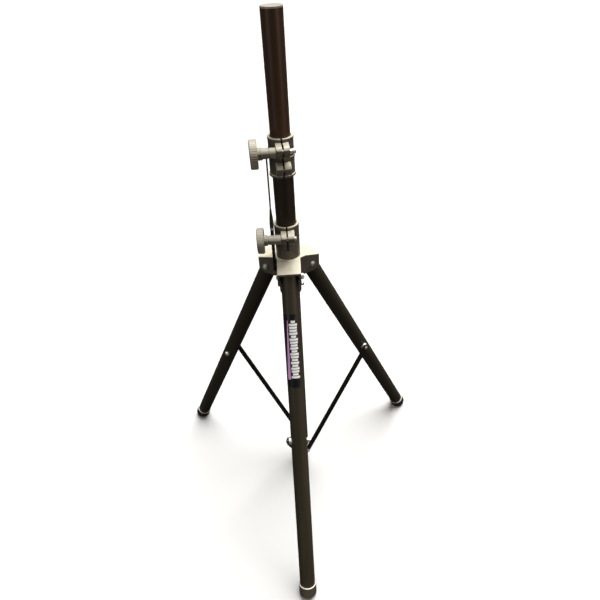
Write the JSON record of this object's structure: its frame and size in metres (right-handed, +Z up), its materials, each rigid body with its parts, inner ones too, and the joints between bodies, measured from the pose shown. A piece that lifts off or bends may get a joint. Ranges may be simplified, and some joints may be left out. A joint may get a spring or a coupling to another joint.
{
  "type": "speaker tripod stand",
  "caption": "Telescoping speaker stand: a round pole in an outer mast tube, clamp knobs, a sliding leg housing and folding braced tripod legs with rubber feet.",
  "frame": {"origin": "on the floor, on the mast's axis", "axes": "+Z up along the mast; -Y towards the front leg; +X to the right seen from the front"},
  "size_m": [0.6666, 0.5828, 1.143],
  "materials": {
    "tube_paint": "satin brown-black powder coat",
    "casting": "moulded, fine texture",
    "knob": "matt moulded",
    "zinc_steel": "zinc plated",
    "black_steel": "black painted steel",
    "nylon": "black nylon",
    "pole_cap": "worn satin",
    "rubber": "matt",
    "cord": "matt",
    "label": "printed film"
  },
  "bodies": {
    "mast": {"mast_tube": "tube_paint", "brace_hub": "casting", "hub_pins": "zinc_steel", "hub_screws": "zinc_steel", "upper_collar": "casting", "collar_bush": "nylon", "collar_bolt": "zinc_steel", "collar_nut": "zinc_steel", "upper_nut": "zinc_steel", "tether_cord": "cord", "tether_knot": "cord", "pin_grip": "rubber", "pin_crimp": "zinc_steel", "locking_pin": "black_steel"},
    "pole": {"pole_tube": "tube_paint", "pole_cap": "pole_cap", "pole_bush": "nylon"},
    "upper_knob": {"upper_knob": "knob", "upper_knob_spacer": "knob", "upper_knob_bolt": "zinc_steel"},
    "leg_carriage": {"leg_housing": "casting", "housing_liner": "nylon", "housing_nut": "zinc_steel", "hinge_bolts": "zinc_steel", "hinge_nuts": "zinc_steel", "cable_hook": "black_steel"},
    "lower_knob": {"lower_knob": "knob", "lower_knob_spacer": "knob", "lower_knob_bolt": "zinc_steel"},
    "leg_front": {"leg_front": "tube_paint", "leg_plug_front": "nylon", "hinge_washers_front": "nylon", "foot_front": "rubber", "brace_spacer_front": "zinc_steel", "brace_bolt_front": "zinc_steel", "brace_nut_front": "zinc_steel", "leg_label": "label"},
    "brace_front": {"brace_front": "black_steel", "brace_pin_front": "zinc_steel"},
    "leg_right": {"leg_right": "tube_paint", "leg_plug_right": "nylon", "hinge_washers_right": "nylon", "foot_right": "rubber", "brace_spacer_right": "zinc_steel", "brace_bolt_right": "zinc_steel", "brace_nut_right": "zinc_steel"},
    "brace_right": {"brace_right": "black_steel", "brace_pin_right": "zinc_steel"},
    "leg_left": {"leg_left": "tube_paint", "leg_plug_left": "nylon", "hinge_washers_left": "nylon", "foot_left": "rubber", "brace_spacer_left": "zinc_steel", "brace_bolt_left": "zinc_steel", "brace_nut_left": "zinc_steel"},
    "brace_left": {"brace_left": "black_steel", "brace_pin_left": "zinc_steel"}
  },
  "joints": [
    {"name": "pole_slide", "type": "slide", "parent": "mast", "child": "pole", "axis": [0, 0, 1], "range_m": [0, 0.75]},
    {"name": "legs_fold", "type": "slide", "parent": "mast", "child": "leg_carriage", "axis": [0, 0, 1], "range_m": [0, 0.08716]},
    {"name": "upper_knob_turn", "type": "hinge", "parent": "mast", "child": "upper_knob", "pos_m": [0.00345, -0.03583, 0.9365], "axis": [-0.9954, -0.0958, 0], "range_deg": [0, 540]},
    {"name": "lower_knob_turn", "type": "hinge", "parent": "leg_carriage", "child": "lower_knob", "pos_m": [0.00094, -0.03599, 0.768], "axis": [-0.9997, -0.0262, 0], "range_deg": [0, 540]},
    {"name": "leg_hinge_front", "type": "hinge", "parent": "leg_carriage", "child": "leg_front", "pos_m": [0, -0.0416, 0.6845], "axis": [1, 0, 0], "range_deg": [0, 23.49]},
    {"name": "brace_hinge_front", "type": "hinge", "parent": "leg_front", "child": "brace_front", "pos_m": [0, -0.196, 0.36], "axis": [-1, 0, 0], "range_deg": [0, 47.98]},
    {"name": "leg_hinge_right", "type": "hinge", "parent": "leg_carriage", "child": "leg_right", "pos_m": [0.03603, 0.0208, 0.6845], "axis": [-0.5, 0.866, 0], "range_deg": [0, 23.49]},
    {"name": "brace_hinge_right", "type": "hinge", "parent": "leg_right", "child": "brace_right", "pos_m": [0.16974, 0.098, 0.36], "axis": [0.5, -0.866, 0], "range_deg": [0, 47.98]},
    {"name": "leg_hinge_left", "type": "hinge", "parent": "leg_carriage", "child": "leg_left", "pos_m": [-0.03603, 0.0208, 0.6845], "axis": [-0.5, -0.866, 0], "range_deg": [0, 23.49]},
    {"name": "brace_hinge_left", "type": "hinge", "parent": "leg_left", "child": "brace_left", "pos_m": [-0.16974, 0.098, 0.36], "axis": [0.5, 0.866, 0], "range_deg": [0, 47.98]}
  ],
  "couplings": [
    {"joint": "leg_hinge_front", "follows": "legs_fold", "rad_per_m": 4.7004},
    {"joint": "brace_hinge_front", "follows": "legs_fold", "rad_per_m": 9.6038},
    {"joint": "leg_hinge_right", "follows": "legs_fold", "rad_per_m": 4.7004},
    {"joint": "brace_hinge_right", "follows": "legs_fold", "rad_per_m": 9.6038},
    {"joint": "leg_hinge_left", "follows": "legs_fold", "rad_per_m": 4.7004},
    {"joint": "brace_hinge_left", "follows": "legs_fold", "rad_per_m": 9.6038}
  ]
}
